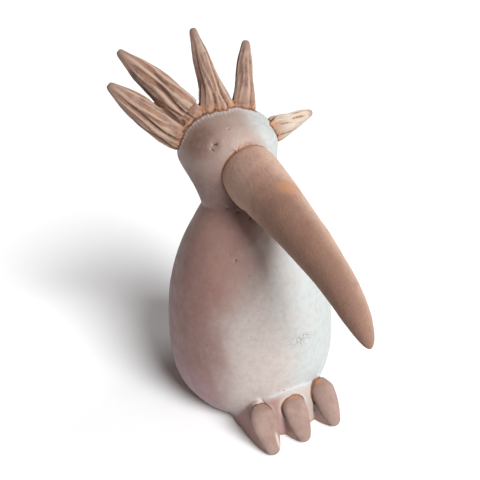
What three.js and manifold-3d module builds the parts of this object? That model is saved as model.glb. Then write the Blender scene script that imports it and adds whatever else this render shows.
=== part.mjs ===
// A long-billed bird with a crest of five horns, hand-built in stoneware and fired as one piece.
// Millimetres, +Z up. The origin is the centre of the flat underside of the body, and the bird
// faces -Y, so its own left side is +X.
import * as THREE from "three";
import Module from "manifold-3d";
import { mergeVertices } from "three/addons/utils/BufferGeometryUtils.js";

// Body: an egg standing on its blunt end, cut flat where it stands
const bodyRadius = 75;
const bodyWidestHeight = 58.5;
const bodyShoulderRise = 135.5;
const bodyHeelDrop = 78.8;
const bodyShoulderFullness = 2.3;
const bodyHeelFullness = 2.55;

// Head: a dome that narrows downwards and forwards to the neck, set back from the body's axis
const headRadius = 41.5;
const headSetBack = 26.6;
const headWidestHeight = 226.5;
const headDomeRise = 34;
const headDrop = 76;
const headNarrowing = 1.7;
const headLean = 0.68;

// Beak: a long cone with a blunt end, drooping more and more towards it
const beakLength = 196;
const beakRootRadius = 26;
const beakEndRadius = 8.2;
const beakEndLength = 30;
const beakPinch = 0.14;
const beakPinchLength = 26;
const beakRootReach = 2;
const beakRootHeight = 221;
const beakRootSlope = 12;
const beakEndSlope = 52;

// Crest: horns of clay rooted along an arc over the crown, each leaning its own way
const crestTurn = 13;
const crestSetBack = 4;
const crestWeltRise = 2.8;
const crestWeltReach = 8;
const crestWeltEndDrop = 25;
const hornRootDepth = 20;
const hornRootShrink = 0.5;
const hornTipRadius = 3.3;
const hornFlatness = 0.86;
const furrowDepth = 0.2;
const horns = [
  { place: 154, length: 72, out: 138, back: 7, girths: [26, 24.5, 20.5], furrows: 7, bow: 1 },
  { place: 123, length: 85, out: 136, back: 22, girths: [25, 26.5, 21], furrows: 8, bow: 1 },
  { place: 99, length: 73, out: 99, back: 34, girths: [31, 19, 14], furrows: 8, bow: 0 },
  { place: 69, length: 60, out: 77, back: 33, girths: [22, 17, 14], furrows: 6, bow: 0.5 },
  { place: 17, length: 56, out: -1, back: 38, girths: [25, 18, 13.5], furrows: 6, bow: 0.5 },
];

// Eyes: a pricked dimple with a low rim on each side of the head, the left one further round
const eyePlaces = [
  { turn: -41, rise: 22.5 },
  { turn: 55, rise: 13 },
];
const eyeDimpleRadius = 3.6;
const eyeDimpleDepth = 2;
const eyeRimRadius = 4.8;
const eyeRimThickness = 1.1;

// Foot: three toes from one web at the front of the body, each with a broad claw. The foot is a
// little turned: each toe lies "place" spacings to the left and is set back by its own amount.
const toeSpacing = 31;
const toes = [
  { place: -0.98, setBack: 0 },
  { place: 0, setBack: 0 },
  { place: 1.04, setBack: 4 },
];
const toeRootReach = 25;
const toeReach = 98;
const toeWidths = [30, 27, 23, 14];
const toeHeights = [34, 34, 29, 9];
const toeAxisHeight = 6;
const toeEndLength = 12;
const clawReach = 101;
const clawLength = 44;
const clawWidth = 22.5;
const clawThickness = 13;
const clawSlope = 47;
const clawTipHeight = 2;
const webWidth = 84;
const webReach = 84;
const webMiddleReach = 50;
const webHeight = 56;

const clayColour = 0xb58b73;
const clayRoughness = 0.75;
const weldTolerance = 1e-4;
const degree = Math.PI / 180;

const wasm = await Module();
wasm.setup();

// The solid inside a closed geometry
function solid(geometry) {
  const bare = geometry.clone();
  bare.deleteAttribute("normal");
  bare.deleteAttribute("uv");
  const welded = mergeVertices(bare, weldTolerance);
  const vertProperties = welded.attributes.position.array;
  const triVerts = new Uint32Array(welded.index.array);
  return new wasm.Manifold(new wasm.Mesh({ numProp: 3, vertProperties, triVerts }));
}

// A ball whose points are moved to place(angle, share), where share runs from pole to pole
function mould(around, along, place) {
  const ball = new THREE.SphereGeometry(1, around, along);
  const { position, uv } = ball.attributes;
  for (let i = 0; i < position.count; i++) {
    const point = place(2 * Math.PI * uv.getX(i), 1 - uv.getY(i));
    position.setXYZ(i, point.x, point.y, point.z);
  }
  return solid(ball);
}

// A tube along a curve with a rounded far end. widthAt(share) and heightAt(share) are its radii
// across and along "above", and relief(angle, share) scales both.
function taper({ curve, widthAt, heightAt = widthAt, endLength, above, relief = () => 1, around, along }) {
  const endRings = 4;
  const endShare = 1 - endLength / curve.getLength();
  const firstEndRing = 1 - endRings / along;
  return mould(around, along, (angle, share) => {
    const closing = THREE.MathUtils.clamp((share - firstEndRing) / (1 - firstEndRing), 0, 1) * 90 * degree;
    const reach = closing > 0 ? endShare + (1 - endShare) * Math.sin(closing) : (endShare * share) / firstEndRing;
    const scale = share > 0 ? Math.cos(closing) * relief(angle, reach) : 0;
    const forward = curve.getTangentAt(reach);
    const side = new THREE.Vector3().crossVectors(above, forward).normalize();
    const over = new THREE.Vector3().crossVectors(forward, side);
    return curve
      .getPointAt(reach)
      .addScaledVector(side, -scale * widthAt(reach) * Math.cos(angle))
      .addScaledVector(over, scale * heightAt(reach) * Math.sin(angle));
  });
}

// A smooth run of values from the first to the last of a list
function run(values) {
  const points = values.map((value, i) => new THREE.Vector2(i / (values.length - 1), value));
  const line = new THREE.SplineCurve(points);
  return (share) => line.getPoint(share).y;
}

// The direction that lies "turn" to the left of straight ahead and "rise" above level
function heading(turn, rise) {
  return new THREE.Vector3(
    Math.sin(turn * degree) * Math.cos(rise * degree),
    -Math.cos(turn * degree) * Math.cos(rise * degree),
    Math.sin(rise * degree),
  );
}

// The crest's own frame: across the head from its right to its left, and back out of it
const crestAcross = heading(90 - crestTurn, 0);
const crestBack = heading(180 - crestTurn, 0);

function body() {
  return mould(38, 22, (angle, share) => {
    const rise = Math.cos(share * Math.PI);
    const fullness = rise > 0 ? bodyShoulderFullness : bodyHeelFullness;
    const ring = bodyRadius * Math.sqrt(1 - Math.abs(rise) ** fullness);
    const height = bodyWidestHeight + rise * (rise > 0 ? bodyShoulderRise : bodyHeelDrop);
    return new THREE.Vector3(-ring * Math.cos(angle), -ring * Math.sin(angle), height);
  });
}

const headCentre = new THREE.Vector3(0, headSetBack, headWidestHeight);

// How far a point of the head, measured from the head's centre, swells out along the crest
function welt(point) {
  const off = (point.dot(crestBack) - crestSetBack) / crestWeltReach;
  return crestWeltRise * Math.exp(-(off ** 2)) * THREE.MathUtils.smoothstep(point.z, -crestWeltEndDrop, 0);
}

function head() {
  return mould(36, 24, (angle, share) => {
    const rise = Math.cos(share * Math.PI);
    const fall = Math.max(0, -rise);
    const narrowed = fall ** headNarrowing;
    const ring = headRadius * (rise > 0 ? Math.sqrt(1 - rise ** 2) : 1 - narrowed);
    const height = rise * (rise > 0 ? headDomeRise : headDrop);
    const shift = -headLean * narrowed * headDrop;
    const point = new THREE.Vector3(-ring * Math.cos(angle), shift - ring * Math.sin(angle), height);
    return point.setLength(point.length() + welt(point)).add(headCentre);
  });
}

// How far the head's dome reaches from its centre in a direction above level
function domeReach(direction) {
  const level = Math.hypot(direction.x, direction.y) / headRadius;
  return 1 / Math.hypot(level, direction.z / headDomeRise);
}

function beak() {
  const steps = 8;
  const points = [new THREE.Vector3(0, -beakRootReach, beakRootHeight)];
  for (let i = 0; i < steps; i++) {
    const slope = THREE.MathUtils.lerp(beakRootSlope, beakEndSlope, ((i + 0.5) / steps) ** 4);
    points.push(points[i].clone().addScaledVector(heading(0, -slope), beakLength / steps));
  }
  return taper({
    curve: new THREE.CatmullRomCurve3(points),
    widthAt: (share) => {
      const pinch = Math.max(0, 1 - (share * beakLength) / beakPinchLength) ** 2 * beakPinch;
      return THREE.MathUtils.lerp(beakRootRadius, beakEndRadius, share) * (1 - pinch);
    },
    endLength: beakEndLength,
    above: new THREE.Vector3(0, 0, 1),
    around: 24,
    along: 20,
  });
}

// The direction at "turn" round the crest, counted from the bird's left, leaning back by "lean"
function fan(turn, lean) {
  return crestAcross
    .clone()
    .multiplyScalar(Math.cos(turn * degree))
    .add(new THREE.Vector3(0, 0, Math.sin(turn * degree)))
    .multiplyScalar(Math.cos(lean * degree))
    .addScaledVector(crestBack, Math.sin(lean * degree));
}

function horn({ place, length, out, back, girths, furrows, bow }, index) {
  const root = headCentre
    .clone()
    .addScaledVector(crestBack, crestSetBack)
    .addScaledVector(crestAcross, (headRadius + crestWeltRise) * Math.cos(place * degree));
  root.z += headDomeRise * Math.sin(place * degree);
  const along = fan(out, back);
  const start = root.clone().addScaledVector(along, -hornRootDepth);
  const tip = root.clone().addScaledVector(along, length);
  const bend = new THREE.Vector3().crossVectors(along, crestBack).normalize();
  const middle = start.clone().lerp(tip, 0.5).addScaledVector(bend, 2 * bow);
  const radii = run([...girths.map((girth) => girth / 2), hornTipRadius]);
  const rootShare = hornRootDepth / (length + hornRootDepth);
  const widthAt = (share) => {
    const sunk = Math.max(0, 1 - share / rootShare);
    return radii(Math.max(0, (share - rootShare) / (1 - rootShare))) * (1 - hornRootShrink * sunk);
  };
  return taper({
    curve: new THREE.QuadraticBezierCurve3(start, middle, tip),
    widthAt,
    heightAt: (share) => hornFlatness * widthAt(share),
    endLength: hornTipRadius * 1.5,
    above: crestBack.clone().negate(),
    relief: (angle, share) => {
      const sway = 0.35 * Math.sin(7 * share + 2 * index);
      const groove = 1 - Math.abs(Math.sin((furrows * angle) / 2 + sway));
      return 1 - furrowDepth * groove * Math.sin(Math.PI * Math.min(1, share + 0.15));
    },
    around: 24,
    along: 12,
  });
}

// An eye: a rim laid on the head, and a dimple pressed into it
function eye({ turn: place, rise }) {
  const outward = heading(place, rise);
  const centre = headCentre.clone().addScaledVector(outward, domeReach(outward));
  const turn = new THREE.Quaternion().setFromUnitVectors(new THREE.Vector3(0, 0, 1), outward);
  const rim = new THREE.TorusGeometry(eyeRimRadius, eyeRimThickness, 6, 18);
  rim.applyQuaternion(turn).translate(centre.x, centre.y, centre.z);
  const dimple = new THREE.SphereGeometry(eyeDimpleRadius, 14, 8);
  dimple.scale(1, 1, eyeDimpleDepth / eyeDimpleRadius).applyQuaternion(turn);
  dimple.translate(centre.x, centre.y, centre.z);
  return { rim: solid(rim), dimple: solid(dimple) };
}

function toe({ place, setBack }) {
  const across = place * toeSpacing;
  const reach = toeReach - setBack;
  return taper({
    curve: new THREE.LineCurve3(
      new THREE.Vector3(across * 0.85, -toeRootReach, toeAxisHeight),
      new THREE.Vector3(across, -reach, toeAxisHeight / 2),
    ),
    widthAt: run(toeWidths.map((width) => width / 2)),
    heightAt: run(toeHeights),
    endLength: toeEndLength,
    above: new THREE.Vector3(0, 0, 1),
    around: 18,
    along: 12,
  });
}

function claw({ place, setBack }) {
  const forward = heading(0, -clawSlope);
  const tip = new THREE.Vector3(place * toeSpacing, setBack - clawReach, clawTipHeight);
  const start = tip.clone().addScaledVector(forward, -clawLength);
  const bulge = run([0.3, 0.9, 1, 0.97, 0.8, 0.42]);
  return taper({
    curve: new THREE.LineCurve3(start, tip),
    widthAt: (share) => (clawWidth / 2) * bulge(share),
    heightAt: (share) => (clawThickness / 2) * bulge(share),
    endLength: clawLength * 0.08,
    above: new THREE.Vector3(0, 0, 1),
    around: 16,
    along: 12,
  });
}

// The web that the toes spread from, running into the front of the body
function web() {
  const lump = new THREE.SphereGeometry(1, 24, 12);
  lump.rotateX(90 * degree);
  lump.scale(webWidth / 2, webReach - webMiddleReach, webHeight).translate(0, -webMiddleReach, 0);
  return solid(lump);
}

// Everything below the floor is cut away
function floorCut() {
  const room = 1000;
  const block = new THREE.BoxGeometry(room, room, room);
  block.translate(0, 0, room / 2);
  return solid(block);
}

const eyes = eyePlaces.map(eye);
const lumps = [body(), head(), beak(), web(), ...horns.map(horn), ...toes.map(toe), ...toes.map(claw)];
let bird = lumps.reduce((joined, lump) => joined.add(lump));
for (const { rim, dimple } of eyes) {
  bird = bird.add(rim).subtract(dimple);
}
bird = bird.intersect(floorCut());

// The solid's surface as a geometry to draw
function surface(made) {
  const { numProp, vertProperties, triVerts } = made.getMesh();
  const count = vertProperties.length / numProp;
  const points = new Float32Array(count * 3);
  for (let i = 0; i < count; i++) {
    points.set(vertProperties.subarray(i * numProp, i * numProp + 3), i * 3);
  }
  const geometry = new THREE.BufferGeometry();
  geometry.setAttribute("position", new THREE.BufferAttribute(points, 3));
  geometry.setIndex(new THREE.BufferAttribute(triVerts, 1));
  geometry.computeVertexNormals();
  return geometry;
}

const clay = new THREE.MeshStandardMaterial({ color: clayColour, roughness: clayRoughness, metalness: 0 });
const ceramicBird = new THREE.Mesh(surface(bird), clay);
ceramicBird.name = "ceramic_bird";

const sculpture = new THREE.Group();
sculpture.add(ceramicBird);

export default sculpture;
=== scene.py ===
import math

import bpy
import numpy as np
from mathutils import Matrix, Vector, noise
from mathutils.bvhtree import BVHTree


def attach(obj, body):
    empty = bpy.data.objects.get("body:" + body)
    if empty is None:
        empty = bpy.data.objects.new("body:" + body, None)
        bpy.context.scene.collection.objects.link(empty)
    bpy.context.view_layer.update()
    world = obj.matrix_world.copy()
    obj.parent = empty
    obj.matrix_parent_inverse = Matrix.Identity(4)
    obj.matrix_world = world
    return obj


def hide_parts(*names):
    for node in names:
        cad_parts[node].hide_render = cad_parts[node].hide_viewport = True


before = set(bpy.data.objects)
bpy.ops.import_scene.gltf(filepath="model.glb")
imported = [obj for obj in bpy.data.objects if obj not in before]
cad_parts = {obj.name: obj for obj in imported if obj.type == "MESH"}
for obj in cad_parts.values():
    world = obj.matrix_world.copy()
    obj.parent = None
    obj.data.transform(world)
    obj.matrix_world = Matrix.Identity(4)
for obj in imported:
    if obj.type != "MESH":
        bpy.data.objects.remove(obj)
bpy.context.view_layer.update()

# A hand-built stoneware bird with a drooping beak and a crest of five horns, in metres, +Z up.
# It faces -Y, so its own left side is +X. The whole bird is one fired piece.
MM = 0.001
DEGREE = math.pi / 180

# Body: an egg standing on its blunt end, its shoulder a little fuller under the neck
BODY_RADIUS = 75 * MM
BODY_WIDEST_HEIGHT = 58.5 * MM
BODY_SHOULDER_RISE = 135.5 * MM
BODY_HEEL_DROP = 78.8 * MM
BODY_SHOULDER_FULLNESS = 2.3
BODY_HEEL_FULLNESS = 2.55
SHOULDER_ROLL = 0.11
SHOULDER_ROLL_HEIGHT = 184 * MM
SHOULDER_ROLL_REACH = 15 * MM

# Head: a dome that narrows downwards and forwards to the neck
HEAD_RADIUS = 41.5 * MM
HEAD_CENTRE = Vector((0, 26.6 * MM, 226.5 * MM))
HEAD_DOME_RISE = 34 * MM
HEAD_DROP = 76 * MM
HEAD_NARROWING = 1.7
HEAD_LEAN = 0.68

# Beak: a long cone with a blunt end, drooping more and more towards it
BEAK_LENGTH = 196 * MM
BEAK_ROOT = Vector((0, -2 * MM, 221 * MM))
BEAK_ROOT_RADIUS = 26 * MM
BEAK_END_RADIUS = 8.2 * MM
BEAK_END_LENGTH = 30 * MM
BEAK_PINCH = 0.14
BEAK_PINCH_LENGTH = 26 * MM
BEAK_ROOT_SLOPE = 12 * DEGREE
BEAK_END_SLOPE = 52 * DEGREE
BEAK_DROOP_POWER = 4

# Crest: horns rooted along an arc over the crown, on a low strip of clay
CREST_TURN = 13 * DEGREE
CREST_SET_BACK = 4 * MM
WELT_RISE = 2.8 * MM
WELT_REACH = 8 * MM
WELT_END_DROP = 25 * MM
HORN_ROOT_DEPTH = 20 * MM
HORN_ROOT_SHRINK = 0.5
HORN_TIP_RADIUS = 3.3 * MM
HORN_FLATNESS = 0.86
HORNS = [
    {"place": 154, "length": 72, "out": 138, "back": 7, "girths": (26, 24.5, 20.5), "furrows": 7, "bow": 1},
    {"place": 123, "length": 85, "out": 136, "back": 22, "girths": (25, 26.5, 21), "furrows": 8, "bow": 1,
     "cuff": 9},
    {"place": 99, "length": 73, "out": 99, "back": 34, "girths": (31, 19, 14), "furrows": 8, "bow": 0},
    {"place": 69, "length": 60, "out": 77, "back": 33, "girths": (22, 17, 14), "furrows": 6, "bow": 0.5},
    {"place": 17, "length": 56, "out": -1, "back": 38, "girths": (25, 18, 13.5), "furrows": 6, "bow": 0.5},
]

# What is pressed into a horn. Furrow widths are in radians round it and depths are shares of its
# radius. Wrinkles are set by how fine they are round the horn and along it, a shift and a depth
FURROW_WIDTH = 0.16
FURROW_WIDTH_CHANGE = 0.07
FINE_FURROW_WIDTH = 0.09
MORE_FINE_FURROWS = 4
FURROW_EDGE_POWER = 1.5
FURROW_DEPTH = 0.31
FURROW_DEEPEST = 0.46
WRINKLES = ((5, 3.2, 9, 0.1), (13, 7, 5, 0.045))
WRINKLE_CORE = 4 * MM
CUFF_STEP = 0.16
CUFF_EDGE = 0.7
ROOT_THINNING = 0.45
ROOT_THIN_LENGTH = 18
TIP_PIT_REACH = 4 * MM
TIP_PIT_DEPTH = 1.6 * MM
TIP_PIT_RADIUS = 1.5 * MM

# The strip of clay at the horns' roots, from place to place in degrees, and the pleats of the seam
STRIP_RADIUS = 5 * MM
STRIP_FROM = 158
STRIP_TO = 62
STRIP_STEP = 4
PLEAT_SPACING = 2.9
PLEAT_BAND = 5.5
PLEAT_DEPTH = 0.34

# Eyes: a dimple with a low rim, pricked in its middle and below it, the left one further round.
# A prick is its place in the dimple and its radius, in millimetres
EYES = ((-43 * DEGREE, 25.5 * DEGREE), (55 * DEGREE, 13 * DEGREE))
EYE_DIMPLE_RADIUS = 3.8
EYE_DIMPLE_DEPTH = 1.6
EYE_RIM_RADIUS = 6.4
EYE_RIM_HEIGHT = 0.08
EYE_RIM_WIDTH = 1.5
EYE_PRICKS = ((-0.7, 0.9, 0.85), (1.2, 1.4, 0.85), (-2.0, -3.4, 0.55), (-0.4, -4.2, 0.5))
EYE_PRICK_DEPTH = 1.7

# Foot: three toes from one web, each with a broad claw, the whole a little turned
TOE_SPACING = 31 * MM
TOES = ({"place": -0.98, "set_back": 0}, {"place": 0, "set_back": 0}, {"place": 1.04, "set_back": 4})
TOE_ROOT_REACH = 25 * MM
TOE_ROOT_CLOSENESS = 0.85
TOE_REACH = 98 * MM
TOE_WIDTHS = (30, 27, 23, 14)
TOE_HEIGHTS = (34, 34, 29, 9)
TOE_AXIS_HEIGHT = 6 * MM
TOE_END_LENGTH = 12 * MM
CLAW_REACH = 101 * MM
CLAW_LENGTH = 44 * MM
CLAW_WIDTH = 22.5 * MM
CLAW_THICKNESS = 13 * MM
CLAW_SLOPE = 47 * DEGREE
CLAW_BULGE = (0.42, 0.97, 1, 0.9, 0.7, 0.4)
CLAW_END_SHARE = 0.92
CLAW_TIP_HEIGHT = 2 * MM
WEB_WIDTH = 84 * MM
WEB_REACH = 84 * MM
WEB_MIDDLE_REACH = 50 * MM
WEB_HEIGHT = 56 * MM

# How far from a joint its clay fillet starts, in millimetres, and how evenly it is smeared
NECK_FILL = 24
INSTEP_FILL = 4
FILL_PASSES = 120
SOFTEN_PASSES = 50
SOFTEN_REACH = NECK_FILL / 3

# Low relief of the skin, in millimetres. Each joint's groove has a depth and a raggedness
DENT_SIZE = 34
DENT_DEPTH = 0.55
LUMP_SIZE = 9
LUMP_DEPTH = 0.16
CHATTER_SIZE = 1.6
GROOVES = {"beak_edge": (0.75, 0), "claw_edge": (0.8, 0.3), "crest_edge": (0.7, 0.6)}
GROOVE_WIDTH = 0.8
JOINT_TOP_HEIGHTS = (234 * MM, 240 * MM)
JOINT_TOP_RAISE = 1.2
JOINT_TOP_WIDTH = 2.2
CHATTER_AT_JOINT = 0.6
CHATTER_AT_CREST = 0.3

# Glaze that pooled at the instep: where along x it runs out, and how ragged it is
POOL_ENDS = (-18 * MM, -34 * MM)
POOL_CLOSING = 8
POOL_RAGGED_SIZE = 2.6
POOL_RAGGEDNESS = 0.75

# Pinholes that the fire left in the glaze: turn, height and radius, and how deep they are
PINHOLES = (
    (-36, 161, 1.1), (-42, 164, 0.5), (-25, 150, 0.7), (-34, 138, 0.65), (-21, 152, 0.45), (-26, 100, 0.6),
    (-59, 193.5, 1.0), (-38, 192, 1.0), (-33, 191.4, 0.8), (-18, 188, 1.3), (-7, 104, 0.4), (4, 99, 0.45),
    (14, 96, 0.45), (70, 130, 0.7), (118, 84, 0.6), (160, 120, 0.8), (-130, 96, 0.6), (-168, 60, 0.7),
)
PINHOLE_DEPTH = 1.1
HEAD_PIT = (-10.2 * MM, 3.3 * MM, 253.3 * MM)
HEAD_PIT_RADIUS = 0.7

# How finely the clay is modelled
EGG_RINGS = 30
WEB_RINGS = 20
HORN_RINGS = 22
POLE_INSET = 0.3
END_TURN = 86 * DEGREE
CLAY_GRAIN = 0.75 * MM
HOLLOW_PASSES = 14
FARTHEST = 26 * MM
MOST_TRIANGLES = 192000
CREASE_ANGLE = 70 * DEGREE


def nothing_selected():
    if bpy.context.object and bpy.context.object.mode == "EDIT":
        bpy.ops.object.mode_set(mode="OBJECT")
    bpy.ops.object.select_all(action="DESELECT")


def pick(*pieces):
    nothing_selected()
    for piece in pieces:
        piece.select_set(True)
    bpy.context.view_layer.objects.active = pieces[0]


def finish_with(piece, kind, **settings):
    """Gives a piece a modifier and applies it."""
    pick(piece)
    modifier = piece.modifiers.new(kind.lower(), kind)
    for name, value in settings.items():
        setattr(modifier, name, value)
    bpy.ops.object.modifier_apply(modifier=modifier.name)


def points_of(piece):
    flat = np.empty(len(piece.data.vertices) * 3)
    piece.data.vertices.foreach_get("co", flat)
    return flat.reshape(-1, 3)


def normals_of(piece):
    flat = np.empty(len(piece.data.vertices) * 3)
    piece.data.vertices.foreach_get("normal", flat)
    return flat.reshape(-1, 3)


def move_points(piece, points):
    piece.data.vertices.foreach_set("co", points.ravel())
    piece.data.update()


def blend(first, last, share):
    return first + (last - first) * share


def smooth_step(low, high, values):
    share = np.clip((values - low) / (high - low), 0, 1)
    return share * share * (3 - 2 * share)


def run(values, share):
    """A smooth run of values from the first to the last of a list."""
    at = min(max(share, 0), 1) * (len(values) - 1)
    i = min(int(at), len(values) - 2)
    before, start, end, after = (values[min(max(i + k, 0), len(values) - 1)] for k in (-1, 0, 1, 2))
    t = at - i
    lead_in = (end - before) / 2
    lead_out = (after - start) / 2
    return (
        (2 * start - 2 * end + lead_in + lead_out) * t**3
        + (3 * end - 3 * start - 2 * lead_in - lead_out) * t**2
        + lead_in * t
        + start
    )


def heading(turn, rise):
    """The direction that lies turn to the left of straight ahead and rise above level."""
    return Vector((math.sin(turn) * math.cos(rise), -math.cos(turn) * math.cos(rise), math.sin(rise)))


CREST_ACROSS = heading(math.pi / 2 - CREST_TURN, 0)
CREST_BACK = heading(math.pi - CREST_TURN, 0)


def fan(turn, lean):
    """The direction at turn round the crest, counted from the bird's left, leaning back by lean."""
    upright = CREST_ACROSS * math.cos(turn) + Vector((0, 0, math.sin(turn)))
    return upright * math.cos(lean) + CREST_BACK * math.sin(lean)


def standing(start, forward, above):
    """The place of a lump that is drawn from start along forward, with its back towards above."""
    side = above.cross(forward).normalized()
    over = forward.cross(side)
    turned = Matrix((side, over, forward)).transposed().to_4x4()
    return Matrix.Translation(start) @ turned


def draw_out(name, rings, place=Matrix.Identity(4), around=32, fineness=2):
    """A closed lump drawn out of a disc ring by ring along +Z, smoothed and set in its place.

    Each ring is its middle, its half width along X, its half height along Y and its tilt about X.
    """
    middle, across, above, tilt = rings[0]
    nothing_selected()
    bpy.ops.mesh.primitive_circle_add(vertices=around, radius=1, fill_type="NGON")
    lump = bpy.context.object
    lump.name = name
    bpy.ops.object.mode_set(mode="EDIT")
    bpy.ops.mesh.select_all(action="SELECT")
    bpy.ops.transform.resize(value=(across, above, 1), center_override=(0, 0, 0))
    bpy.ops.transform.translate(value=middle)
    if tilt:
        bpy.ops.transform.rotate(value=-tilt, orient_axis="X", center_override=middle)
    for next_middle, next_across, next_above, next_tilt in rings[1:]:
        bpy.ops.mesh.extrude_region_move(TRANSFORM_OT_translate={"value": next_middle - middle})
        widen = next_across / across
        heighten = next_above / above
        bpy.ops.transform.resize(value=(widen, heighten, heighten), center_override=next_middle)
        if next_tilt != tilt:
            bpy.ops.transform.rotate(value=tilt - next_tilt, orient_axis="X", center_override=next_middle)
        middle, across, above, tilt = next_middle, next_across, next_above, next_tilt
    bpy.ops.mesh.select_all(action="SELECT")
    bpy.ops.mesh.normals_make_consistent(inside=False)
    bpy.ops.object.mode_set(mode="OBJECT")
    finish_with(lump, "SUBSURF", levels=fineness, render_levels=fineness)
    lump.matrix_world = place
    bpy.ops.object.transform_apply(location=True, rotation=True, scale=True)
    return lump


def drawn_shares(end_share, along=16, closing=6):
    """Shares of a taper's length at which its rings lie, closer together round its blunt end."""
    straight = [end_share * i / along for i in range(along)]
    bent = [math.sin(i / closing * END_TURN) for i in range(closing + 1)]
    return straight + [end_share + (1 - end_share) * reach for reach in bent]


def rounding(share, end_share):
    """How far a taper is drawn in at its blunt end."""
    past = max(0, (share - end_share) / (1 - end_share))
    return math.sqrt(1 - past**2)


def pole_to_pole(count):
    """Heights of the rings of a ball, from -1 to 1, closer together at its poles."""
    steps = count - 1 + 2 * POLE_INSET
    return [-math.cos(math.pi * (i + POLE_INSET) / steps) for i in range(count)]


def body():
    rings = []
    for rise in pole_to_pole(EGG_RINGS):
        fullness = BODY_SHOULDER_FULLNESS if rise > 0 else BODY_HEEL_FULLNESS
        ring = BODY_RADIUS * math.sqrt(1 - abs(rise) ** fullness)
        height = BODY_WIDEST_HEIGHT + rise * (BODY_SHOULDER_RISE if rise > 0 else BODY_HEEL_DROP)
        from_roll = (height - SHOULDER_ROLL_HEIGHT) / SHOULDER_ROLL_REACH
        ring *= 1 + SHOULDER_ROLL * math.exp(-(from_roll**2))
        rings.append((Vector((0, 0, height)), ring, ring, 0))
    return draw_out("body", rings)


def head():
    rings = []
    for rise in pole_to_pole(EGG_RINGS):
        narrowed = max(0, -rise) ** HEAD_NARROWING
        ring = HEAD_RADIUS * (math.sqrt(1 - rise**2) if rise > 0 else 1 - narrowed)
        height = rise * (HEAD_DOME_RISE if rise > 0 else HEAD_DROP)
        middle = Vector((0, -HEAD_LEAN * narrowed * HEAD_DROP, height))
        rings.append((middle, ring, ring, 0))
    lump = draw_out("head", rings)
    points = points_of(lump)
    off = (points @ np.array(CREST_BACK) - CREST_SET_BACK) / WELT_REACH
    welt = WELT_RISE * np.exp(-(off**2)) * smooth_step(-WELT_END_DROP, 0, points[:, 2])
    points *= (1 + welt / np.linalg.norm(points, axis=1))[:, None]
    move_points(lump, points + np.array(HEAD_CENTRE))
    return lump


def beak():
    end_share = 1 - BEAK_END_LENGTH / BEAK_LENGTH
    middle = Vector((0, 0, 0))
    reached = 0
    rings = []
    for share in drawn_shares(end_share):
        halfway = (share + reached) / 2
        slope = blend(BEAK_ROOT_SLOPE, BEAK_END_SLOPE, halfway**BEAK_DROOP_POWER)
        middle = middle + Vector((0, -math.sin(slope), math.cos(slope))) * (share - reached) * BEAK_LENGTH
        reached = share
        pinch = BEAK_PINCH * max(0, 1 - share * BEAK_LENGTH / BEAK_PINCH_LENGTH) ** 2
        radius = blend(BEAK_ROOT_RADIUS, BEAK_END_RADIUS, share) * (1 - pinch) * rounding(share, end_share)
        tilt = blend(BEAK_ROOT_SLOPE, BEAK_END_SLOPE, share**BEAK_DROOP_POWER)
        rings.append((middle, radius, radius, tilt))
    return draw_out("beak", rings, standing(BEAK_ROOT, heading(0, 0), Vector((0, 0, 1))))


def horn_root(place):
    """The point of the crest's arc that a horn stands on."""
    root = HEAD_CENTRE + CREST_BACK * CREST_SET_BACK
    root += CREST_ACROSS * (HEAD_RADIUS + WELT_RISE) * math.cos(place)
    root.z += HEAD_DOME_RISE * math.sin(place)
    return root


def furrow_depth(angle, share, furrows, index):
    """Wavy lengthwise furrows with finer ones between them, of which a few run together."""
    depth = np.zeros(len(angle))
    for k in range(furrows):
        sway = 0.35 * np.sin(7 * share + 2 * index)
        wander = 0.16 * np.sin(9 * share + 2.4 * k + index)
        middle = 2 / furrows * (math.pi * k - sway) + wander
        off = np.angle(np.exp(1j * (angle - middle)))
        width = FURROW_WIDTH + FURROW_WIDTH_CHANGE * math.sin(2.1 * k + index)
        strength = 0.62 + 0.48 * np.sin(4.3 * share + 2.7 * k + 1.3 * index)
        depth += strength * np.exp(-np.abs(off / width) ** FURROW_EDGE_POWER)
    fine_furrows = furrows + MORE_FINE_FURROWS
    for k in range(fine_furrows):
        wander = 0.22 * np.sin(6 * share + 1.9 * k + 2 * index)
        off = np.angle(np.exp(1j * (angle - 2 * math.pi * (k + 0.4) / fine_furrows - wander)))
        strength = 0.25 + 0.25 * np.sin(5.1 * share + 3.1 * k + index)
        depth += strength * np.exp(-np.abs(off / FINE_FURROW_WIDTH) ** FURROW_EDGE_POWER)
    return depth


def wrinkled(angle, share, index):
    """Uneven wrinkles all over a horn."""
    height = np.zeros(len(angle))
    for around, along, shift, depth in WRINKLES:
        spots = [
            Vector((around * math.cos(a), around * math.sin(a), along * s + shift * index))
            for a, s in zip(angle, share)
        ]
        height += depth * np.array([noise.noise(spot) for spot in spots])
    return height


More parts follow.
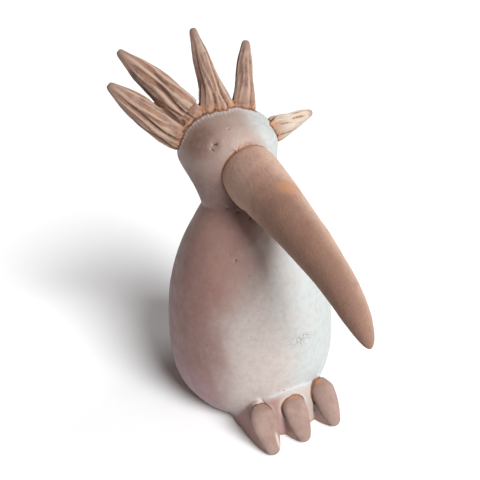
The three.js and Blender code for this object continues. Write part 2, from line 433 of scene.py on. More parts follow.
def furrowed(lump, index, furrows, reach, cuff):
    """Presses furrows, wrinkles and a pitted tip into a horn that still stands on its axis."""
    points = points_of(lump)
    radius = np.hypot(points[:, 0], points[:, 1])
    angle = np.arctan2(points[:, 1] / HORN_FLATNESS, -points[:, 0])
    share = points[:, 2] / reach
    fade = np.sin(math.pi * np.clip(share * 0.8 + 0.16, 0, 1)) ** 0.8
    pressed = np.clip(FURROW_DEPTH * furrow_depth(angle, share, furrows, index) * fade, 0, FURROW_DEEPEST)
    wrinkles = wrinkled(angle, share, index) * fade * np.minimum(1, radius / WRINKLE_CORE)
    keep = 1 - pressed + wrinkles
    risen = points[:, 2] / MM - HORN_ROOT_DEPTH / MM
    if cuff:
        slanted = risen + 5 * radius * np.cos(angle)
        keep -= CUFF_STEP * (1 - smooth_step(cuff - CUFF_EDGE, cuff + CUFF_EDGE, slanted))
    points[:, 0] *= keep
    points[:, 1] *= keep
    thinned = points[:, 1] * (1 - ROOT_THINNING * (1 - smooth_step(0, ROOT_THIN_LENGTH, risen)))
    points[:, 1] = np.where(points[:, 1] > 0, thinned, points[:, 1])
    near_tip = smooth_step(reach - TIP_PIT_REACH, reach, points[:, 2])
    points[:, 2] -= TIP_PIT_DEPTH * near_tip * np.exp(-((radius / TIP_PIT_RADIUS) ** 2))
    move_points(lump, points)


def horn(index, place, length, out, back, girths, furrows, bow, cuff=0):
    reach = length * MM + HORN_ROOT_DEPTH
    end_share = 1 - HORN_TIP_RADIUS * 1.5 / reach
    root_share = HORN_ROOT_DEPTH / reach
    radii = [girth / 2 * MM for girth in girths] + [HORN_TIP_RADIUS]
    rings = []
    for share in drawn_shares(end_share, HORN_RINGS):
        sunk = max(0, 1 - share / root_share)
        radius = run(radii, (share - root_share) / (1 - root_share)) * (1 - HORN_ROOT_SHRINK * sunk)
        radius *= rounding(share, end_share)
        sideways = 4 * bow * MM * share * (1 - share)
        rings.append((Vector((sideways, 0, share * reach)), radius, HORN_FLATNESS * radius, 0))
    lump = draw_out(f"horn_{index}", rings, around=40)
    furrowed(lump, index, furrows, reach, cuff)
    along = fan(out * DEGREE, back * DEGREE)
    start = horn_root(place * DEGREE) - along * HORN_ROOT_DEPTH
    lump.matrix_world = standing(start, along, -CREST_BACK)
    pick(lump)
    bpy.ops.object.transform_apply(location=True, rotation=True, scale=True)
    return lump


def strip():
    """The low roll of clay that the horns' roots run together in."""
    start = HEAD_CENTRE + CREST_BACK * CREST_SET_BACK
    rings = []
    count = (STRIP_FROM - STRIP_TO) // STRIP_STEP
    for i in range(count + 1):
        place = (STRIP_FROM - i * STRIP_STEP) * DEGREE
        middle = Vector((0, (HEAD_RADIUS + WELT_RISE) * math.cos(place), HEAD_DOME_RISE * math.sin(place)))
        travel_y = (HEAD_RADIUS + WELT_RISE) * math.sin(place)
        travel_z = -HEAD_DOME_RISE * math.cos(place)
        radius = STRIP_RADIUS * (0.85 + 0.15 * math.sin(2.3 * i))
        rings.append((middle, radius, radius, math.atan2(-travel_y, travel_z)))
    return draw_out("strip", rings, standing(start, Vector((0, 0, 1)), CREST_ACROSS), around=20)


def toe(place, set_back):
    across = place * TOE_SPACING
    start = Vector((across * TOE_ROOT_CLOSENESS, -TOE_ROOT_REACH, TOE_AXIS_HEIGHT))
    end = Vector((across, set_back * MM - TOE_REACH, TOE_AXIS_HEIGHT / 2))
    length = (end - start).length
    end_share = 1 - TOE_END_LENGTH / length
    rings = []
    for share in drawn_shares(end_share):
        drawn_in = rounding(share, end_share)
        width = run(TOE_WIDTHS, share) / 2 * MM * drawn_in
        height = run(TOE_HEIGHTS, share) * MM * drawn_in
        rings.append((Vector((0, 0, share * length)), width, height, 0))
    return draw_out("toe", rings, standing(start, (end - start).normalized(), Vector((0, 0, 1))))


def claw(place, set_back):
    forward = heading(0, -CLAW_SLOPE)
    tip = Vector((place * TOE_SPACING, set_back * MM - CLAW_REACH, CLAW_TIP_HEIGHT))
    rings = []
    for share in drawn_shares(CLAW_END_SHARE):
        bulge = run(CLAW_BULGE, share) * rounding(share, CLAW_END_SHARE)
        middle = Vector((0, 0, share * CLAW_LENGTH))
        rings.append((middle, CLAW_WIDTH / 2 * bulge, CLAW_THICKNESS / 2 * bulge, 0))
    return draw_out("claw", rings, standing(tip - forward * CLAW_LENGTH, forward, Vector((0, 0, 1))))


def web():
    rings = []
    for rise in pole_to_pole(WEB_RINGS):
        ring = math.sqrt(1 - rise**2)
        middle = Vector((0, -WEB_MIDDLE_REACH, WEB_HEIGHT * rise))
        rings.append((middle, WEB_WIDTH / 2 * ring, (WEB_REACH - WEB_MIDDLE_REACH) * ring, 0))
    return draw_out("web", rings)


def tree_of(*lumps):
    """The joined surface of some lumps, to measure distances to."""
    points = []
    faces = []
    for lump in lumps:
        first = len(points)
        points += [vertex.co.copy() for vertex in lump.data.vertices]
        faces += [[first + i for i in face.vertices] for face in lump.data.polygons]
    return BVHTree.FromPolygons(points, faces)


def join_lumps():
    """Draws out every lump, and gives the bird that they join into and the surface of each part."""
    parts = {"body": [body()], "head": [head()], "beak": [beak()], "foot": [web()]}
    parts["foot"] += [toe(**sizes) for sizes in TOES]
    parts["claws"] = [claw(**sizes) for sizes in TOES]
    parts["crest"] = [horn(index, **sizes) for index, sizes in enumerate(HORNS)]
    parts["crest"].append(strip())
    surfaces = {name: tree_of(*lumps) for name, lumps in parts.items()}
    everything = [lump for lumps in parts.values() for lump in lumps]
    pick(*everything)
    bpy.ops.object.join()
    joined = everything[0]
    joined.name = "stoneware_bird"
    finish_with(joined, "REMESH", mode="VOXEL", voxel_size=CLAY_GRAIN)
    finish_with(joined, "SMOOTH", factor=0.5, iterations=3)
    return joined, surfaces


def distance_to(tree, points):
    """Each point's distance to a surface in millimetres, and FARTHEST where it is farther off."""
    found = [tree.find_nearest(point, FARTHEST)[3] for point in points]
    return np.array([FARTHEST if gap is None else gap for gap in found]) / MM


def rough(points, size, seed, octaves=2):
    """Unevenness between about -1 and 1, with lumps of the given size in millimetres."""
    offset = Vector((7.3, 3.1, 5.7)) * seed
    scale = 1 / (size * MM)
    return np.array([noise.fractal(point * scale + offset, 1, 2, octaves) for point in points])


def bell(values, width):
    return np.exp(-((values / width) ** 2))


def pleats(spots):
    """Strokes across the seam between head and crest, from -1 to 1, for each point."""
    from_centre = (spots - np.array(HEAD_CENTRE)) / MM
    across = from_centre @ np.array(CREST_ACROSS) / (HEAD_RADIUS / MM)
    upward = from_centre[:, 2] / (HEAD_DOME_RISE / MM)
    arc = np.arctan2(upward, across) * HEAD_RADIUS / MM
    uneven = 0.8 * np.sin(arc / 4.1) + 0.5 * np.sin(arc / 1.7 + 1)
    return np.sin(2 * math.pi * (arc + uneven) / PLEAT_SPACING)


def eye_relief(spots, turn, rise):
    """An eye's dimple, its rim and its pricks, in millimetres out of the head."""
    outward = heading(turn, rise)
    level = math.hypot(outward.x, outward.y) / HEAD_RADIUS
    centre = HEAD_CENTRE + outward / math.hypot(level, outward.z / HEAD_DOME_RISE)
    side = Vector((0, 0, 1)).cross(outward).normalized()
    over = outward.cross(side)
    off = (spots - np.array(centre)) / MM
    x = off @ np.array(side)
    y = off @ np.array(over)
    deep = np.abs(off @ np.array(outward)) < 2 * EYE_RIM_RADIUS
    gap = np.hypot(x, y)
    lift = EYE_RIM_HEIGHT * bell(gap - EYE_RIM_RADIUS, EYE_RIM_WIDTH)
    lift -= EYE_DIMPLE_DEPTH * bell(gap, EYE_DIMPLE_RADIUS)
    for prick_x, prick_y, radius in EYE_PRICKS:
        lift -= EYE_PRICK_DEPTH * bell(np.hypot(x - prick_x, y - prick_y), radius)
    return np.where(deep, lift, 0)


def pinholes(spots, on_glaze):
    turn = np.arctan2(spots[:, 0], -spots[:, 1])
    reach = np.hypot(spots[:, 0], spots[:, 1]) / MM
    depth = np.zeros(len(spots))
    for place, height, radius in PINHOLES:
        along = np.angle(np.exp(1j * (turn - place * DEGREE))) * reach
        gap = np.hypot(along, spots[:, 2] / MM - height)
        depth += np.minimum(1, radius) * bell(gap, radius)
    depth += bell(np.linalg.norm(spots - np.array(HEAD_PIT), axis=1) / MM, HEAD_PIT_RADIUS)
    return -PINHOLE_DEPTH * depth * on_glaze


def averaged(piece, values, passes):
    """Values at a piece's points, averaged again and again with those of their neighbours."""
    pairs = np.empty(len(piece.data.edges) * 2, dtype=np.int64)
    piece.data.edges.foreach_get("vertices", pairs)
    start, end = pairs.reshape(-1, 2).T
    count = len(values)
    neighbours = np.bincount(start, minlength=count) + np.bincount(end, minlength=count)
    around = values.copy()
    for _ in range(passes):
        for axis in range(3):
            column = around[:, axis]
            total = np.bincount(start, column[end], count) + np.bincount(end, column[start], count)
            around[:, axis] = total / neighbours
    return around


def hollows(piece, spots, normals, passes):
    """How far each point lies below the surface around it, in millimetres."""
    return ((averaged(piece, spots, passes) - spots) * normals).sum(axis=1) / MM


def inside_of(name, gaps):
    """How far each point lies inside one lump's share of the surface, and below zero outside it."""
    others = [gap for other, gap in gaps.items() if other != name]
    return np.minimum.reduce(others) - gaps[name]


def fill(piece, gap, reach):
    """Fills the crease between two lumps with a hollow curve that starts reach away from it."""
    spread = averaged(piece, normals_of(piece), FILL_PASSES)
    spread /= np.linalg.norm(spread, axis=1)[:, None]
    depth = np.clip(reach - gap, 0, None) ** 2 / (4 * reach)
    move_points(piece, points_of(piece) + spread * depth[:, None] * MM)


def soften(piece, weights, passes):
    """Smooths the clay only where the weights say."""
    group = piece.vertex_groups.new(name="softened")
    for i in np.flatnonzero(weights > 0.02):
        group.add([int(i)], float(weights[i]), "REPLACE")
    finish_with(piece, "SMOOTH", factor=0.5, iterations=passes, vertex_group=group.name)
    piece.vertex_groups.clear()


def tip_gaps(spots):
    """Each point's distance to the nearest horn's tip, in millimetres."""
    nearest = np.full(len(spots), FARTHEST)
    for sizes in HORNS:
        along = fan(sizes["out"] * DEGREE, sizes["back"] * DEGREE)
        tip = horn_root(sizes["place"] * DEGREE) + along * sizes["length"] * MM
        nearest = np.minimum(nearest, np.linalg.norm(spots - np.array(tip), axis=1))
    return nearest / MM


def keep_values(piece, name, values):
    """Stores a value at each point, for the finish to read."""
    piece.data.attributes.new(name, "FLOAT", "POINT").data.foreach_set("value", values)


def fill_joints(piece, surfaces):
    """Fills the neck and the instep, and gives each point's distance to every part."""
    points = [Vector(spot) for spot in points_of(piece)]
    gaps = {name: distance_to(surface, points) for name, surface in surfaces.items()}
    neck = np.maximum(gaps["body"], gaps["head"])
    instep = np.maximum(gaps["body"], gaps["foot"])
    fill(piece, neck, NECK_FILL)
    fill(piece, instep, INSTEP_FILL)
    soften(piece, bell(neck, SOFTEN_REACH), SOFTEN_PASSES)
    return gaps


def model_skin(piece, gaps):
    """Works the low relief into the clay, and stores at each point what its finish depends on."""
    spots = points_of(piece)
    normals = normals_of(piece)
    points = [Vector(spot) for spot in spots]
    instep = np.maximum(gaps["body"], gaps["foot"])
    values = {
        "crest_edge": inside_of("crest", gaps),
        "beak_edge": inside_of("beak", gaps),
        "claw_edge": inside_of("claws", gaps),
        "foot_edge": inside_of("foot", gaps),
        "crease": instep + POOL_CLOSING * smooth_step(*POOL_ENDS, spots[:, 0]),
        "leftward": normals[:, 0].copy(),
        "tip_gap": tip_gaps(spots),
    }
    bare = np.maximum.reduce([values[name] for name in GROOVES])
    on_glaze = 1 - smooth_step(-1, 0, bare)
    near_crest = np.exp(-np.clip(-values["crest_edge"] / PLEAT_BAND, 0, None) ** 2) * on_glaze
    waves = pleats(spots)
    chatter = rough(points, CHATTER_SIZE, 3)
    lift = DENT_DEPTH * rough(points, DENT_SIZE, 1)
    lift += LUMP_DEPTH * rough(points, LUMP_SIZE, 2) * (1 - 0.5 * on_glaze)
    lift += PLEAT_DEPTH * near_crest * waves * (0.75 + 0.6 * chatter)
    for name, (depth, raggedness) in GROOVES.items():
        lift -= depth * bell(values[name] + raggedness * chatter, GROOVE_WIDTH)
    joint_top = bell(values["beak_edge"] + JOINT_TOP_RAISE, JOINT_TOP_WIDTH)
    joint_top *= smooth_step(*JOINT_TOP_HEIGHTS, spots[:, 2])
    lift += CHATTER_AT_JOINT * chatter * joint_top
    lift += CHATTER_AT_CREST * chatter * bell(values["crest_edge"] - 2, 3)
    for turn, rise in EYES:
        lift += eye_relief(spots, turn, rise)
    lift += pinholes(spots, on_glaze)
    spots += normals * lift[:, None] * MM
    move_points(piece, spots)
    values["crest_edge"] += (0.9 * waves + 0.8 * chatter) * near_crest
    values["beak_edge"] += 1.5 * chatter * joint_top
    values["crease"] += 0.2 + POOL_RAGGEDNESS * rough(points, POOL_RAGGED_SIZE, 5, 3)
    values["hollow"] = hollows(piece, spots, normals_of(piece), HOLLOW_PASSES)
    for name, at_points in values.items():
        keep_values(piece, name, at_points)


def thin_and_cut(piece):
    """Thins the mesh and cuts it flat where it stands."""
    piece.data.calc_loop_triangles()
    share_kept = MOST_TRIANGLES / len(piece.data.loop_triangles)
    finish_with(piece, "DECIMATE", ratio=min(1, share_kept))
    pick(piece)
    bpy.ops.object.mode_set(mode="EDIT")
    bpy.ops.mesh.select_all(action="SELECT")
    bpy.ops.mesh.bisect(
        plane_co=(0, 0, 0), plane_no=(0, 0, 1), clear_inner=True, use_fill=True, threshold=1e-7
    )
    bpy.ops.object.mode_set(mode="OBJECT")
    bpy.ops.object.shade_smooth_by_angle(angle=CREASE_ANGLE)


class Recipe:
    """The nodes of one finish. Sizes are in millimetres."""

    def __init__(self, name):
        self.material = bpy.data.materials.new(name)
        self.material.use_nodes = True
        self.tree = self.material.node_tree
        self.shader = self.tree.nodes["Principled BSDF"]
        self.place = self.node("ShaderNodeTexCoord", {}, "Object")

    def feed(self, socket, value):
        if isinstance(value, bpy.types.NodeSocket):
            self.tree.links.new(value, socket)
        else:
            socket.default_value = value

    def node(self, kind, inputs, output=0, **settings):
        node = self.tree.nodes.new(kind)
        for name, value in settings.items():
            setattr(node, name, value)
        for name, value in inputs.items():
            self.feed(node.inputs[name], value)
        return node.outputs[output]

    def value_at(self, name):
        return self.node("ShaderNodeAttribute", {}, "Fac", attribute_name=name)

    def clouds(self, size, detail=2, roughness=0.5):
        inputs = {"Vector": self.place, "Scale": 1 / (size * MM), "Detail": detail, "Roughness": roughness}
        return self.node("ShaderNodeTexNoise", inputs)

    def streaks(self, width, length, tilt):
        """Clouds drawn out along an axis that is tilted up from level."""
        inputs = {"Vector": self.place, "Rotation": (tilt, 0, 0), "Scale": (1, length / width, 1)}
        drawn = self.node("ShaderNodeMapping", inputs, vector_type="TEXTURE")
        return self.node("ShaderNodeTexNoise", {"Vector": drawn, "Scale": 1 / (width * MM), "Detail": 3})

    def sum(self, first, second):
        return self.node("ShaderNodeMath", {0: first, 1: second}, operation="ADD")

    def times(self, first, second):
        return self.node("ShaderNodeMath", {0: first, 1: second}, operation="MULTIPLY")

    def most(self, first, second):
        return self.node("ShaderNodeMath", {0: first, 1: second}, operation="MAXIMUM")

    def size_of(self, value):
        return self.node("ShaderNodeMath", {0: value}, operation="ABSOLUTE")

    def between(self, value, low, high, first=0.0, last=1.0):
        """Goes smoothly from first, where the value is low, to last, where it is high."""
        inputs = {"Value": value, 1: low, 2: high, 3: first, 4: last}
        return self.node("ShaderNodeMapRange", inputs, interpolation_type="SMOOTHSTEP")

    def mix(self, share, first, last):
        inputs = {0: share, 6: first, 7: last}
        return self.node("ShaderNodeMix", inputs, 2, data_type="RGBA")

    def along(self, axis):
        """How far each point lies along an axis, in millimetres."""
        apart = self.node("ShaderNodeSeparateXYZ", {0: self.place}, axis)
        return self.times(apart, 1 / MM)

    def specks(self, size, radius, few):
        """Round specks, one in each cell of the given size, of which only a few are kept."""
        texture = self.tree.nodes.new("ShaderNodeTexVoronoi")
        self.feed(texture.inputs["Vector"], self.place)
        texture.inputs["Scale"].default_value = 1 / (size * MM)
        chosen = self.node("ShaderNodeSeparateColor", {0: texture.outputs["Color"]}, 0)
        dot = self.between(texture.outputs["Distance"], 0.6 * radius / size, radius / size, 1.0, 0.0)
        return self.times(dot, self.between(chosen, few, few + 0.05, 1.0, 0.0))

    def patch(self, centre, reach):
        """A soft-edged patch round a point, with its own reach along each axis."""
        inputs = {"Vector": self.place, "Location": [-c / r for c, r in zip(centre, reach)]}
        inputs["Scale"] = [1 / (r * MM) for r in reach]
        moved = self.node("ShaderNodeMapping", inputs)
        gap = self.node("ShaderNodeVectorMath", {0: moved}, "Value", operation="LENGTH")
        return self.between(gap, 0.35, 1.0, 1.0, 0.0)


GLAZE_COOL_LIT = (0.365, 0.395, 0.39, 1)
GLAZE_WARM = (0.415, 0.36, 0.335, 1)
# Pinkish glaze laid on thinly, darkened to serve as painted shade
GLAZE_THIN_AND_SHADED = (0.27, 0.15, 0.124, 1)
GLAZE_LILAC = (0.40, 0.245, 0.305, 1)
GLAZE_RUSSET = (0.205, 0.095, 0.08, 1)
GLAZE_MOTTLE_AND_SHADE = (0.27, 0.195, 0.163, 1)
GLAZE_SHADED = (0.145, 0.078, 0.07, 1)
GLAZE_BROWN = (0.148, 0.08, 0.063, 1)
GLAZE_POOLED_AND_LIT = (0.42, 0.43, 0.435, 1)
RUST = (0.21, 0.078, 0.034, 1)
UMBER = (0.055, 0.026, 0.017, 1)
BUFF = (0.235, 0.135, 0.10, 1)
DARK_BUFF = (0.135, 0.075, 0.055, 1)
PALE_BUFF = (0.35, 0.25, 0.19, 1)
SUNLIT_BUFF = (0.47, 0.40, 0.33, 1)
SAND = (0.35, 0.218, 0.168, 1)
PALE_SAND = (0.46, 0.325, 0.245, 1)
TAN = (0.215, 0.115, 0.08, 1)
PLUM = (0.15, 0.085, 0.065, 1)
ORANGE = (0.37, 0.18, 0.095, 1)
BURNT_ORANGE = (0.27, 0.115, 0.055, 1)
CLAW_PINK = (0.235, 0.15, 0.125, 1)
CLAW_PALE = (0.29, 0.205, 0.175, 1)
CLAW_BROWN = (0.17, 0.098, 0.075, 1)
CHIPPED = (0.43, 0.36, 0.30, 1)
TOE_BEIGE = (0.37, 0.29, 0.255, 1)
TOE_SHADED_BROWN = (0.29, 0.14, 0.12, 1)
BEAK_STREAK_TILT = 25 * DEGREE
SCORCH_CENTRE = (5.4, -67.9, 226.8)
SCORCH_REACH = (15, 13, 13)
TEMPLE_SHADE_CENTRE = (-36, 10, 250)
TEMPLE_SHADE_REACH = (22, 26, 30)
JOINT_TOP_CENTRE = (-4, -9, 242)
JOINT_TOP_REACH = (15, 9, 8)
SCRATCH_CENTRE = (12, -71, 87)
SCRATCH_REACH = (20, 9, 7)
CHIP_CENTRE = (-25.5, -97, 12)
CHIP_REACH = (2.2, 8, 12)

# Where one look passes into the next: from and to where, in millimetres, and the shares at both
# ends, or for the turn at the chest how far the painted shade is shifted there
BLUSH_SHADE_TURN = (80, 195, 36.0, -30.0)
BLUSH_SHADE_SIDE = (-52, -3, 1.0, 0.0)
HEAD_SHADE_HEIGHTS = (196, 232)
HEAD_SHADE_SIDE = (2, 24, 1.0, 0.0)
COOL_LIT_SIDE = (-22, 26)
RUSSET_SHADE_SIDE = (-66, -34, 0.9, 0.0)
LILAC_SHADE_HEIGHTS = (15, 75, 1.0, 0.0)
NECK_BOTTOM = (178, 196)
NECK_TOP = (206, 238, 0.75, 0.0)
NECK_SIDE = (0, 20, 1.0, 0.0)
CREST_POOL = (-5.0, -1.5, 0.0, 0.5)
CREASE_POOL = (0.7, 1.5, 0.95, 0.0)
TOE_COVER = (0.0, 4.0, 0.0, 0.9)
FLOOR_LINE = (0.5, 5.0, 0.7, 0.0)
JOINT_SCRAPES = (-6.5, -1.5)
SUNLIT_CREST_SIDE = (28, 60, 0.0, 0.8)
CREST_STAINS = (8.0, 0.5)
DARK_TIPS = (2.0, 16.0, 0.8, 0.0)
BEAK_SAND = (-80, -25)
LIT_BEAK_SIDE = (-2, 14, 0.0, 0.9)
BEAK_RIM = (6.5, 1.0, 0.0, 0.8)
CLAW_BROWNING = (5.5, 1.0, 0.0, 0.6)
CLAW_RIM = (2.4, 0.6, 0.0, 0.85)
EDGE_BLUR = (-0.2, 0.2)

# The same by the way that the surface faces, for the light and shade painted on the toes:
# 1 is to the bird's left and -1 to its right
SHADED_TOES = (-0.45, 0.0)
LIT_TOES = (0.35, 0.75)


def blush_and_shade(recipe, wander):
    """Painted shade, pinkish: the bird's right side and, under the beak's shadow, the chest. Partly glaze
    laid on thinly.
    """
    chest = recipe.between(recipe.along("Z"), *BLUSH_SHADE_TURN)
    across = recipe.sum(recipe.sum(recipe.along("X"), wander), chest)
    return recipe.between(across, *BLUSH_SHADE_SIDE)


def head_shade(recipe, wander):
    """Painted shade on the head: beige over all of it but its left side, which faces the light."""
    across = recipe.sum(recipe.along("X"), recipe.times(wander, 0.5))
    on_head = recipe.between(recipe.along("Z"), *HEAD_SHADE_HEIGHTS)
    return recipe.times(on_head, recipe.between(across, *HEAD_SHADE_SIDE))


def glaze(recipe, hollow):
    """Satin off-white glaze, pinkish where laid on thinly, with painted light and painted shade in its
    colour.
    """
    across = recipe.along("X")
    height = recipe.along("Z")
    wander = recipe.sum(recipe.times(recipe.clouds(30, 4, 0.6), 36.0), -18.0)
    # Painted shade, pinkish, on the bird's right side away from the light and at the chest under the beak's
    # shadow
    shaded_blush = blush_and_shade(recipe, wander)
    # Painted light: cool where the light falls on the bird's left, warm on the side turned away from it
    cool_lit = recipe.between(recipe.sum(across, recipe.times(wander, 1.4)), *COOL_LIT_SIDE)
    colour = recipe.mix(cool_lit, GLAZE_WARM, GLAZE_COOL_LIT)
    colour = recipe.mix(recipe.times(shaded_blush, 0.95), colour, GLAZE_THIN_AND_SHADED)
    # Painted shade: dark russet far round the bird's right side, away from the light
    far_shade = recipe.between(recipe.sum(across, recipe.times(wander, 0.5)), *RUSSET_SHADE_SIDE)
    colour = recipe.mix(far_shade, colour, GLAZE_RUSSET)
    # Lilac low down within the painted shade on the bird's right side
    low = recipe.between(height, *LILAC_SHADE_HEIGHTS)
    colour = recipe.mix(recipe.times(recipe.times(low, shaded_blush), 0.9), colour, GLAZE_LILAC)
    # Painted shade: beige over the head, away from the light
    colour = recipe.mix(recipe.times(head_shade(recipe, wander), 0.85), colour, GLAZE_MOTTLE_AND_SHADE)
    # Painted shade: a brown patch on the head's right side, away from the light
    temple_shade = recipe.times(recipe.patch(TEMPLE_SHADE_CENTRE, TEMPLE_SHADE_REACH), 0.85)
    colour = recipe.mix(temple_shade, colour, GLAZE_BROWN)
    neck = recipe.times(recipe.between(height, *NECK_BOTTOM), recipe.between(height, *NECK_TOP))
    neck = recipe.times(neck, recipe.between(across, *NECK_SIDE))
    colour = recipe.mix(neck, colour, GLAZE_SHADED)
    mottled = recipe.between(recipe.clouds(5, 5, 0.7), 0.42, 0.68, 0.0, 0.28)
    colour = recipe.mix(mottled, colour, GLAZE_MOTTLE_AND_SHADE)
    pale = recipe.between(recipe.clouds(8, 6, 0.7), 0.42, 0.7, 0.0, 0.2)
    colour = recipe.mix(recipe.times(pale, recipe.between(shaded_blush, 0, 1, 1.0, 0.3)), colour, GLAZE_POOLED_AND_LIT)
    # Painted shade: pinker and darker in the hollows
    colour = recipe.mix(recipe.between(hollow, 0.12, 0.6, 0.0, 0.5), colour, GLAZE_THIN_AND_SHADED)
    pooled = recipe.between(recipe.value_at("crest_edge"), *CREST_POOL)
    colour = recipe.mix(pooled, colour, GLAZE_POOLED_AND_LIT)
    # Painted light and shade on the toes: white on the flanks that face the light, brown on those turned
    # away
    facing = recipe.value_at("leftward")
    toe_light_and_shade = recipe.mix(recipe.between(facing, *SHADED_TOES), TOE_SHADED_BROWN, TOE_BEIGE)
    toe_light_and_shade = recipe.mix(recipe.between(facing, *LIT_TOES), toe_light_and_shade, GLAZE_POOLED_AND_LIT)
    on_toes = recipe.between(recipe.value_at("foot_edge"), *TOE_COVER)
    colour = recipe.mix(on_toes, colour, toe_light_and_shade)
    crease = recipe.between(recipe.value_at("crease"), *CREASE_POOL)
    colour = recipe.mix(crease, colour, GLAZE_POOLED_AND_LIT)
    colour = recipe.mix(recipe.times(recipe.specks(3.4, 1.0, 0.5), crease), colour, RUST)
    scratches = recipe.between(recipe.clouds(1.5, 4, 0.7), 0.5, 0.58, 0.0, 0.6)
    scratched = recipe.times(recipe.patch(SCRATCH_CENTRE, SCRATCH_REACH), scratches)
    colour = recipe.mix(scratched, colour, GLAZE_BROWN)
    crumbs = recipe.between(recipe.clouds(1.8, 4, 0.7), 0.42, 0.52, 0.0, 0.95)
    by_joint = recipe.between(recipe.value_at("beak_edge"), *JOINT_SCRAPES)
    scraped = recipe.times(recipe.times(recipe.patch(JOINT_TOP_CENTRE, JOINT_TOP_REACH), by_joint), crumbs)
    colour = recipe.mix(scraped, colour, BURNT_ORANGE)
    # Painted shade: dark umber deep in the hollows, which also darkens the pits
    colour = recipe.mix(recipe.between(hollow, 0.35, 0.7, 0.0, 0.95), colour, UMBER)
    floor_line = recipe.between(height, *FLOOR_LINE)
    colour = recipe.mix(floor_line, colour, GLAZE_THIN_AND_SHADED)
    return recipe.mix(recipe.times(recipe.specks(9, 0.45, 0.3), 0.6), colour, RUST)


def crest_clay(recipe, hollow, edge):
    """Bare buff clay, orange in its furrows and darker at the tips. Painted shade deepens the furrows, and
    painted light makes the ridges and the bird's left pale.
    """
    colour = recipe.mix(recipe.between(recipe.clouds(16, 3, 0.6), 0.38, 0.62), BUFF, DARK_BUFF)
    colour = recipe.mix(recipe.between(recipe.clouds(1.8, 4, 0.7), 0.45, 0.7, 0.0, 0.35), colour, PALE_BUFF)
    # Painted light: paler on the ridges
    colour = recipe.mix(recipe.between(hollow, -0.12, -0.42, 0.0, 0.9), colour, PALE_BUFF)
    # Painted light: pale on the bird's left, where the horns face the light
    pale = recipe.between(recipe.along("X"), *SUNLIT_CREST_SIDE)
    colour = recipe.mix(pale, colour, SUNLIT_BUFF)
    stains = recipe.between(recipe.clouds(3.5, 4, 0.6), 0.44, 0.56, 0.0, 0.85)
    colour = recipe.mix(recipe.times(recipe.between(edge, *CREST_STAINS), stains), colour, ORANGE)
    colour = recipe.mix(recipe.between(hollow, 0.02, 0.22, 0.0, 0.75), colour, BURNT_ORANGE)
    # Painted shade: dark umber deep in the furrows
    colour = recipe.mix(recipe.between(hollow, 0.16, 0.5, 0.0, 0.94), colour, UMBER)
    charred = recipe.between(recipe.value_at("tip_gap"), *DARK_TIPS)
    return recipe.mix(charred, colour, PLUM)


def beak_clay(recipe, hollow, edge):
    """Smoother sandy clay, tan towards its end, streaked and finely specked, and pale on its left as
    painted light.
    """
    across = recipe.along("X")
    wander = recipe.sum(recipe.times(recipe.clouds(24, 4, 0.6), 90.0), -45.0)
    colour = recipe.mix(recipe.between(recipe.sum(recipe.along("Y"), wander), *BEAK_SAND), TAN, SAND)
    # Painted light: pale on the beak's left, where the light falls
    leftward = recipe.sum(across, recipe.times(wander, 0.03))
    colour = recipe.mix(recipe.between(leftward, *LIT_BEAK_SIDE), colour, PALE_SAND)
    streaks = recipe.between(recipe.streaks(1.7, 9, BEAK_STREAK_TILT), 0.45, 0.75, 0.0, 0.35)
    colour = recipe.mix(streaks, colour, PLUM)
    blotches = recipe.between(recipe.clouds(8, 6, 0.7), 0.5, 0.72, 0.0, 0.4)
    colour = recipe.mix(blotches, colour, PLUM)
    sanded = recipe.between(recipe.clouds(1.1, 3, 0.7), 0.5, 0.7, 0.0, 0.16)
    colour = recipe.mix(sanded, colour, PALE_SAND)
    colour = recipe.mix(recipe.times(recipe.patch(SCORCH_CENTRE, SCORCH_REACH), 0.75), colour, ORANGE)
    colour = recipe.mix(recipe.between(edge, *BEAK_RIM), colour, ORANGE)
    colour = recipe.mix(recipe.between(hollow, 0.15, 0.5, 0.0, 0.9), colour, RUST)
    return recipe.mix(recipe.times(recipe.specks(3.4, 0.4, 0.35), 0.75), colour, UMBER)


def claw_clay(recipe, hollow, edge):
    """Bare pinkish clay, browner towards its edge, with an orange rim."""
    colour = recipe.mix(recipe.between(recipe.clouds(12, 4, 0.6), 0.35, 0.65), CLAW_PINK, CLAW_PALE)
    colour = recipe.mix(recipe.between(edge, *CLAW_BROWNING), colour, CLAW_BROWN)
    colour = recipe.mix(recipe.between(edge, *CLAW_RIM), colour, ORANGE)
    colour = recipe.mix(recipe.times(recipe.patch(CHIP_CENTRE, CHIP_REACH), 0.85), colour, CHIPPED)
    colour = recipe.mix(recipe.between(hollow, 0.15, 0.5, 0.0, 0.85), colour, RUST)
    return recipe.mix(recipe.times(recipe.specks(3.4, 0.35, 0.3), 0.5), colour, UMBER)


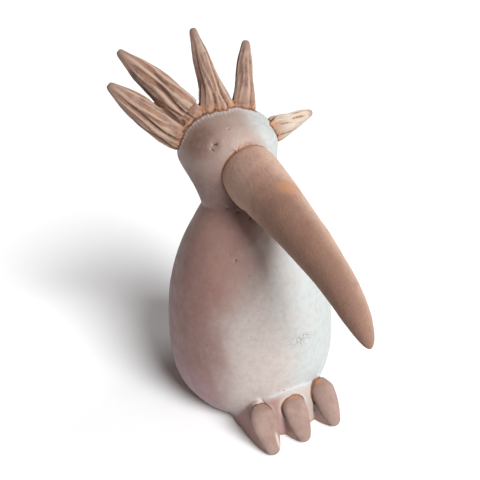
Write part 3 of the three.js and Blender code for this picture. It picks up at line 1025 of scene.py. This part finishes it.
def stoneware():
    recipe = Recipe("glazed_stoneware")
    hollow = recipe.value_at("hollow")
    ragged = recipe.sum(recipe.times(recipe.clouds(2.6, 3), 2.6), -1.3)
    crest_edge = recipe.sum(recipe.value_at("crest_edge"), ragged)
    beak_edge = recipe.sum(recipe.value_at("beak_edge"), recipe.times(ragged, 0.3))
    claw_edge = recipe.sum(recipe.value_at("claw_edge"), recipe.times(ragged, 0.5))
    colour = glaze(recipe, hollow)
    for edge, clay in ((crest_edge, crest_clay), (beak_edge, beak_clay), (claw_edge, claw_clay)):
        inside = recipe.between(edge, *EDGE_BLUR)
        colour = recipe.mix(inside, colour, clay(recipe, hollow, edge))
    broken = recipe.between(recipe.clouds(5, 3), 0.35, 0.6, 0.45, 1.0)
    for edge, width in ((crest_edge, 0.45), (beak_edge, 1.1), (claw_edge, 0.45)):
        line = recipe.between(recipe.size_of(edge), 0.4 * width, 1.6 * width, 0.9, 0.0)
        colour = recipe.mix(recipe.times(line, broken), colour, RUST)
    bare = recipe.between(recipe.most(recipe.most(crest_edge, beak_edge), claw_edge), *EDGE_BLUR)
    recipe.feed(recipe.shader.inputs["Base Color"], colour)
    sheen = recipe.between(recipe.clouds(14, 3), 0.3, 0.7, 0.46, 0.6)
    dull = recipe.node("ShaderNodeMix", {0: bare, 2: sheen, 3: 0.82}, data_type="FLOAT")
    recipe.feed(recipe.shader.inputs["Roughness"], dull)
    grain = recipe.sum(recipe.times(recipe.clouds(0.8, 3), 0.3), recipe.times(recipe.clouds(3, 3), 0.3))
    skin = recipe.sum(recipe.times(recipe.clouds(7, 4, 0.6), 0.6), recipe.times(recipe.clouds(1.3, 3), 0.1))
    height = recipe.node("ShaderNodeMix", {0: bare, 2: skin, 3: grain}, data_type="FLOAT")
    bump = recipe.node("ShaderNodeBump", {"Height": height, "Distance": MM, "Strength": 1.0})
    recipe.feed(recipe.shader.inputs["Normal"], bump)
    return recipe.material


bird, part_surfaces = join_lumps()
model_skin(bird, fill_joints(bird, part_surfaces))
thin_and_cut(bird)
bird.data.materials.clear()
bird.data.materials.append(stoneware())

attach(bird, "root")
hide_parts("ceramic_bird")


# Light: a broad key from the front, a weaker one from the bird's left, and a faint warm room
LAMPS = (
    {"name": "key", "strength": 4.9, "width": 32, "turn": 13, "rise": 38},
    {"name": "side", "strength": 1.2, "width": 45, "turn": 85, "rise": 27},
)
ROOM_LIGHT = (1.0, 0.80, 0.74, 1)
ROOM_STRENGTH = 0.12
FLOOR_COLOUR = (0.92, 0.94, 0.95, 1)
FLOOR_ROUGHNESS = 0.9
FLOOR_SIZE = 12

# Camera, fitted to the photo's outline. Its focal length is in pixels of the photo
AIM = Vector((-6.1 * MM, 0, 152.7 * MM))
CAMERA_DISTANCE = 620 * MM
CAMERA_TURN = -24.91 * DEGREE
CAMERA_RISE = 28.94 * DEGREE
CAMERA_ROLL = 2.9 * DEGREE
FOCAL_LENGTH = 719.7
PHOTO_WIDTH = 480
SENSOR_WIDTH = 36


def floor():
    bpy.ops.mesh.primitive_plane_add(size=FLOOR_SIZE)
    plane = bpy.context.object
    plane.name = "floor"
    paper = bpy.data.materials.new("paper")
    paper.use_nodes = True
    shader = paper.node_tree.nodes["Principled BSDF"]
    shader.inputs["Base Color"].default_value = FLOOR_COLOUR
    shader.inputs["Roughness"].default_value = FLOOR_ROUGHNESS
    plane.data.materials.append(paper)


def camera():
    back = heading(CAMERA_TURN, CAMERA_RISE)
    level = heading(CAMERA_TURN + math.pi / 2, 0)
    upright = back.cross(level)
    right = level * math.cos(CAMERA_ROLL) - upright * math.sin(CAMERA_ROLL)
    up = level * math.sin(CAMERA_ROLL) + upright * math.cos(CAMERA_ROLL)
    data = bpy.data.cameras.new("camera")
    data.sensor_width = SENSOR_WIDTH
    data.lens = SENSOR_WIDTH * FOCAL_LENGTH / PHOTO_WIDTH
    data.clip_start = 0.01
    holder = bpy.data.objects.new("camera", data)
    bpy.context.scene.collection.objects.link(holder)
    turned = Matrix((right, up, back)).transposed().to_4x4()
    holder.matrix_world = Matrix.Translation(AIM + back * CAMERA_DISTANCE) @ turned
    bpy.context.scene.camera = holder


def lamp(name, strength, width, turn, rise):
    light = bpy.data.lights.new(name, "SUN")
    light.energy = strength
    light.angle = width * DEGREE
    holder = bpy.data.objects.new(name, light)
    bpy.context.scene.collection.objects.link(holder)
    toward = heading(turn * DEGREE, rise * DEGREE)
    holder.rotation_euler = toward.to_track_quat("Z", "Y").to_euler()


def room():
    world = bpy.data.worlds.new("room")
    bpy.context.scene.world = world
    world.use_nodes = True
    background = world.node_tree.nodes["Background"]
    background.inputs["Color"].default_value = ROOM_LIGHT
    background.inputs["Strength"].default_value = ROOM_STRENGTH
    bpy.context.scene.view_settings.view_transform = "Standard"


floor()
camera()
for sizes in LAMPS:
    lamp(**sizes)
room()
